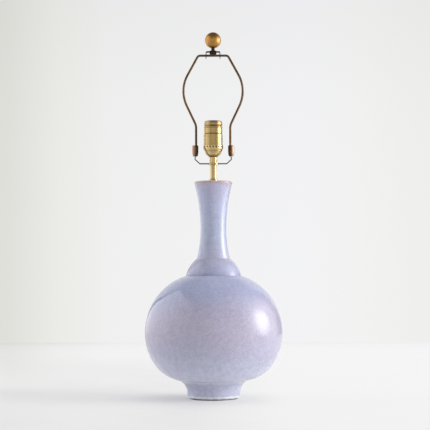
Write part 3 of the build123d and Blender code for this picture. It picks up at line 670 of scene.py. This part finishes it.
def bronze_finish(name, light, dark, roughness, inner_shade=()):
    """Antique bronze: brown metal in soft clouds. If two distances from the lamp's axis in millimetres are
    given, painted shade darkens the side facing the axis, fading out from the first distance to the second."""
    finish, shader, place = new_finish(name)
    stain = noise(place, 55.0, 4.0)
    rub = noise(place, 120.0, 2.0)
    base = ramp(stain, (0.3, dark), (0.7, light))
    # Painted shade on the side that faces the lamp's axis.
    if inner_shade:
        outward = sums("ABSOLUTE", along(place, "X"), 0.0)
        inner_shade_mask = span(outward, inner_shade[0] * mm, inner_shade[1] * mm, 0.9, 0.0)
        base = blend_colours(inner_shade_mask, base, rgb(52, 40, 30))
    set_looks(shader, {
        "Base Color": blend_colours(span(rub, 0.5, 0.72, 0.0, 0.25), base, light),
        "Metallic": 1.0,
        "Roughness": span(stain, 0.3, 0.7, roughness + 0.06, roughness - 0.04),
    })
    relief(rub, shader, 0.01 * mm, 0.5)
    return finish


wire_bronze = bronze_finish("antique_bronze", rgb(124, 99, 72), rgb(96, 77, 56), roughness=0.46)
dressed("harp_wire", wire_bronze, crease=40)

# Sleeves: turned ferrules, drawn in at the bottom, that slide on the harp's legs and drop over
# the laps to lock the harp on its saddle.
leg_reach = 31.6
ferrule_bottom, ferrule_top = 425.87, 444.87
ferrule_bore, ferrule_hollow, ferrule_mouth, ferrule_radius = 3.7, 4.6, 4.1, 5.4
ferrule_outline = [(ferrule_bore, ferrule_bottom), (ferrule_mouth, ferrule_bottom), (4.6, 427.7), (5.1, 430.3)]
ferrule_outline += [(ferrule_radius, 433.4), (ferrule_radius, ferrule_top), (ferrule_bore, ferrule_top)]
ferrule_outline += [(ferrule_bore, 443.27), (ferrule_hollow, 443.27), (ferrule_hollow, 431.87)]
ferrule_outline += [(ferrule_bore, 427.47), (ferrule_bore, ferrule_bottom)]
# The sleeves get painted shade on the sides that face the socket.
sleeve_bronze = bronze_finish(
    "rubbed_and_shaded_bronze", rgb(178, 140, 112), rgb(138, 106, 80), roughness=0.3, inner_shade=(30.6, 33.0),
)
for side, sleeve_name in ((-1, "left"), (1, "right")):
    ferrule = turned("ferrule_" + sleeve_name, ferrule_outline, steps=72)
    ease_rings(ferrule, 0.7, 3, (ferrule_radius, ferrule_top))
    ease_rings(ferrule, 0.2, 2, (ferrule_mouth, ferrule_bottom), (ferrule_bore, ferrule_top))
    bpy.ops.transform.translate(value=(side * leg_reach * mm, 0, 0))
    bpy.ops.object.transform_apply(location=True, rotation=True, scale=True)
    ferrule.data.materials.append(sleeve_bronze)
    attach(ferrule, sleeve_name + "_sleeve")
    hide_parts("sleeve_" + sleeve_name)

# Yoke and stud: a bent strip that swivels on the top of the bow, with a riveted stud, its washer
# for the shade's ring and a fine thread for the finial.
head_radius, head_bottom, head_top = 6.0, 607.07, 610.67
rivet_radius, rivet_top = 3.6, 613.27
shank_radius, shank_top = 3.175, 618.47
core_radius, core_top, stud_tip = 2.4, 627.54, 628.04
screw_radius, screw_depth, screw_pitch = 2.65, 0.25, 0.94
screw_bottom, screw_top, screw_start = 618.6, 627.3, 628.0
yoke_bronze = bronze_finish("dark_bronze", rgb(88, 66, 50), rgb(62, 47, 37), roughness=0.44)
dressed("harp_yoke", yoke_bronze, dissolve=1.0, bevel=0.2)
dressed("stud_washer", yoke_bronze, bevel=0.25)
stud_outline = [(0, head_bottom), (head_radius, head_bottom), (head_radius, head_top)]
stud_outline += [(rivet_radius, head_top), (rivet_radius, rivet_top), (shank_radius, rivet_top)]
stud_outline += [(shank_radius, shank_top), (core_radius, shank_top), (core_radius, core_top)]
stud_outline += [(2.0, stud_tip), (0, stud_tip)]
stud = turned("riveted_stud", stud_outline, steps=64)
ease_rings(stud, 0.4, 3, (head_radius, head_bottom))
stud.data.materials.append(yoke_bronze)
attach(stud, "yoke")
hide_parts("shade_stud")
stud_thread = wound(
    "stud_thread", screw_radius, screw_depth, screw_pitch, screw_start, points=6, steps=40, turns=14,
)
trim_ends(stud_thread, screw_bottom, screw_top)
stud_thread.data.materials.append(yoke_bronze)
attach(stud_thread, "yoke")

# Finial: a solid brass ball turned from bar, flatted and tapped underneath, in a redder satin
# brass than the socket; it screws down on the stud over the shade's ring.
ball_radius, ball_height = 14.3, 632.12
tap_radius, tap_bottom, tap_top, tap_point = 2.98, 618.55, 630.05, 630.34
finial_brass = brass_finish("finial_brass", rgb(195, 147, 77), rgb(181, 132, 64), roughness=0.46, lacquer=0.2)
ball_outline = [(tap_radius, tap_bottom)] + arc((0, ball_height), ball_radius, -71.6, 90, 40)
ball_outline += [(0, tap_point), (tap_radius, tap_top), (tap_radius, tap_bottom)]
ball = turned("ball_finial", ball_outline, steps=96)
ball.data.materials.append(finial_brass)
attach(ball, "finial")
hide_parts("finial_ball")

# Studio: a pale table top, a white wall behind it, a soft key light on the right, a white panel
# on the left and a dim room in front, with the camera low and well back.
table_half, table_near, table_far = 4, -0.395, 2.145
panel_x, rim_x, key_screen_x = -1.2, -1.21, 1.6
camera_right, camera_back, camera_height = 0.00256, 2.4, 0.208
camera_tilt, camera_roll = 2.72, 0.144
plain_white = (1.0, 1.0, 1.0)


def grey(level):
    """A grey read as 0 to 255 on screen."""
    return rgb(level, level, level)


table_paint, shader, place = new_finish("pale_table_paint")
nodes = table_paint.node_tree.nodes
grain = noise(place, 6.0, 3.0)
set_looks(shader, {
    "Base Color": ramp(grain, (0.3, rgb(229, 229, 227)), (0.7, rgb(233, 233, 232))),
    "Roughness": 0.6,
})
ray = nodes.new("ShaderNodeLightPath")
seen = sums("MAXIMUM", ray.outputs["Is Camera Ray"], ray.outputs["Is Glossy Ray"])
seen = sums("MAXIMUM", seen, ray.outputs["Is Transmission Ray"])
across, away = along(place, "X"), along(place, "Y")
# The table's glow, as the camera and reflections see it, is painted light: it is brighter further away.
far_glow = ramp(span(away, -0.4, table_far), (0.0, grey(243)), (0.37, grey(247)), (0.81, grey(252)))
# Painted shadow: a faint dark line where the table meets the wall, strongest on the left.
wall_line_shadow = ramp(
    span(away, 1.665, table_far),
    (0.0, even(1)), (0.6, grey(252)), (0.75, grey(249)), (0.9, grey(244)), (1.0, grey(243)),
)
far_glow = blend_colours(span(across, -0.52, -0.3, 1.0, 0.4), far_glow, wall_line_shadow, "MULTIPLY")
# Painted shade: the table darkens towards the left of the view.
side = span(sums("DIVIDE", across, sums("ADD", away, camera_back)), -0.15, -0.04)
left_side_shade = ramp(
    side, (0.0, rgb(236, 236, 234)), (0.33, rgb(249, 249, 248)), (0.66, grey(254)), (1.0, even(1)),
)
far_glow = blend_colours(1.0, far_glow, left_side_shade, "MULTIPLY")
white = nodes.new("ShaderNodeEmission")
feed(far_glow, white.inputs["Color"])
# Painted light: the glow's share grows further away and on the right of the lamp, which washes out the shadow
# there.
glow_share = sums("MAXIMUM", span(away, 0.3, 1.3, 0.15, 0.75), span(across, -0.03, 0.12, 0.15, 0.8))
share = nodes.new("ShaderNodeMixShader")
feed(sums("MULTIPLY", seen, glow_share), share.inputs["Fac"])
feed(shader.outputs["BSDF"], share.inputs[1])
feed(white.outputs["Emission"], share.inputs[2])
feed(share.outputs["Shader"], nodes["Material Output"].inputs["Surface"])


def flat_panel(name, corners, finish):
    """A flat sheet through its corners, in metres, which is no part of the lamp."""
    mesh = bpy.data.meshes.new(name)
    mesh.from_pydata(corners, [], [tuple(range(len(corners)))])
    panel = bpy.data.objects.new(name, mesh)
    bpy.context.scene.collection.objects.link(panel)
    mesh.materials.append(finish)
    return panel


def table_piece(name, near, far):
    """A strip of the table between two distances."""
    corners = [(-table_half, near, 0), (table_half, near, 0), (table_half, far, 0), (-table_half, far, 0)]
    return flat_panel(name, corners, table_paint)


table_piece("table_top", table_near, table_far)
apron = table_piece("table_front", -table_half, table_near)
apron.visible_glossy = False


def lit_sheet(name, colour, strength):
    """A finish that shines by itself, with a strength of its own at each place."""
    finish, shader, place = new_finish(name)
    nodes = finish.node_tree.nodes
    nodes.remove(shader)
    glow = nodes.new("ShaderNodeEmission")
    glow.inputs["Color"].default_value = colour
    feed(strength(place), glow.inputs["Strength"])
    feed(glow.outputs["Emission"], nodes["Material Output"].inputs["Surface"])
    return finish


def panel_strength(place):
    """Bright in the middle, dim towards its front end and the floor."""
    front = span(along(place, "Y"), -1.4, 0.1, 0.7, 1.5)
    foot = span(along(place, "Z"), 0.0, 0.3, 0.95, 1.5)
    return sums("MINIMUM", front, foot)


def rim_strength(place):
    """Nearly dark, and a little uneven."""
    return span(noise(place, 1.0), 0.0, 1.0, 0.02, 0.06)


def key_strength(place):
    """A soft round light on a dim screen."""
    apart = place.id_data.nodes.new("ShaderNodeVectorMath")
    apart.operation = "DISTANCE"
    apart.inputs[1].default_value = (key_screen_x, -0.06, 0.6)
    feed(place, apart.inputs[0])
    core = span(apart.outputs["Value"], 0.08, 0.72, 7.2, 0.0)
    core.node.interpolation_type = "SMOOTHSTEP"
    halo = span(apart.outputs["Value"], 0.3, 1.8, 2.1, 0.2)
    halo.node.interpolation_type = "SMOOTHSTEP"
    return sums("ADD", core, halo)


panel_edge = [(2.6, 0.36), (1.96, 0.66), (1.24, 0.92), (1.01, 1.21), (0.88, 1.67), (0.8, 1.84), (-1.5, 1.8)]
panel_rim = [(3.0, 0.47), (2.2, 0.81), (1.47, 1.06), (1.24, 1.34), (1.12, 1.82)]
panel_rim += [(0.95, 2.4), (-0.9, 2.3), (-1.5, 1.8)]
panel_foot = [(-1.5, -0.3), (2.6, -0.3)]
screen_edge = [(-1.2, -0.3), (3.6, -0.3), (3.6, 0.3), (3.01, 0.61), (2.55, 0.87)]
screen_edge += [(2.27, 1.4), (1.85, 2.24), (1.49, 2.92), (-1.2, 2.92)]
for name, x, edge, finish in (
    ("left_panel", panel_x, panel_edge + panel_foot, lit_sheet("panel_glow", even(1), panel_strength)),
    ("panel_rim", rim_x, panel_rim + panel_foot, lit_sheet("panel_shade", even(1), rim_strength)),
    ("key_screen", key_screen_x, screen_edge, lit_sheet("key_glow", (0.98, 0.98, 1.0, 1), key_strength)),
):
    screen = flat_panel(name, [(x, y, z) for y, z in edge], finish)
    screen.visible_camera = False
    screen.visible_diffuse = False
    screen.visible_shadow = False


def soft_lamp(name, place, aim, width, height, power, colour):
    """A rectangular soft light at a place, turned towards its aim."""
    lamp = bpy.data.lights.new(name, "AREA")
    lamp.shape = "RECTANGLE"
    lamp.size = width
    lamp.size_y = height
    lamp.energy = power
    lamp.color = colour
    holder = bpy.data.objects.new(name, lamp)
    bpy.context.scene.collection.objects.link(holder)
    holder.location = place
    x, y, z = (a - p for a, p in zip(aim, place))
    holder.rotation_euler = (math.atan2(math.hypot(x, y), -z), 0, math.atan2(y, x) - math.pi / 2)
    holder.visible_glossy = False
    holder.visible_camera = False


soft_lamp("key_light", (2.15, -0.6, 0.6), (0, 0, 0.2), 1.5, 1.2, 44.0, (1.0, 0.985, 0.97))
soft_lamp("front_light", (0.4, -2.2, 1.7), (0, 0, 0.1), 1.6, 1.2, 1.0, plain_white)
soft_lamp("left_light", (-1.9, 0.45, 0.6), (0, 0, 0.2), 1.6, 1.6, 20.0, plain_white)
soft_lamp("top_light", (0.3, 0.4, 2.6), (0, 0, 0), 2.6, 2.6, 23.0, plain_white)

world = bpy.data.worlds.new("studio")
bpy.context.scene.world = world
world.use_nodes = True
nodes = world.node_tree.nodes
nodes.clear()
ray = nodes.new("ShaderNodeLightPath")
way = nodes.new("ShaderNodeTexCoord").outputs["Generated"]
across, away, up = along(way, "X"), along(way, "Y"), along(way, "Z")
room = ramp(
    span(away, -1.0, 1.0),
    (0.0, (0.8, 0.79, 0.77, 1)), (0.03, (0.76, 0.74, 0.73, 1)), (0.1, (0.5, 0.48, 0.49, 1)),
    (0.45, (0.45, 0.43, 0.45, 1)), (0.62, even(0.8)), (0.7, even(0.84)),
)
ceiling_height = sums("SUBTRACT", up, span(away, -0.1, 0.5, 0.0, 0.15))
dim_ceiling = blend_colours(span(ceiling_height, 0.4, 0.62), room, (0.12, 0.12, 0.16, 1))
# Painted shade on the wall as the camera sees it: darker towards the sides of the view, most on the left, and
# towards the top.
wall_shading = ramp(
    span(across, -0.16, 0.16),
    (0.03, rgb(224, 224, 219)), (0.145, rgb(235, 236, 231)), (0.26, grey(240)), (0.5, rgb(242, 242, 243)),
    (0.7, rgb(243, 243, 245)), (0.84, rgb(242, 242, 241)), (0.97, rgb(239, 240, 238)),
)
wall_top_shade = ramp(span(up, 0.03, 0.2), (0.0, even(1)), (0.4, even(0.992)), (0.64, even(0.98)), (1.0, even(0.942)))
wall_shading = blend_colours(1.0, wall_shading, wall_top_shade, "MULTIPLY")
fill = blend_colours(ray.outputs["Is Diffuse Ray"], dim_ceiling, (0.5, 0.5, 0.515, 1))
seen = blend_colours(ray.outputs["Is Camera Ray"], fill, wall_shading)
sky = nodes.new("ShaderNodeBackground")
feed(seen, sky.inputs["Color"])
world_out = nodes.new("ShaderNodeOutputWorld")
feed(sky.outputs["Background"], world_out.inputs["Surface"])

lens = bpy.data.cameras.new("camera")
lens.lens = 114.1
lens.sensor_width = 36.0
lens.clip_end = 50.0
camera = bpy.data.objects.new("camera", lens)
bpy.context.scene.collection.objects.link(camera)
camera.location = (camera_right, -camera_back, camera_height)
camera.rotation_euler = (math.radians(90 + camera_tilt), math.radians(camera_roll), 0)
bpy.context.scene.camera = camera
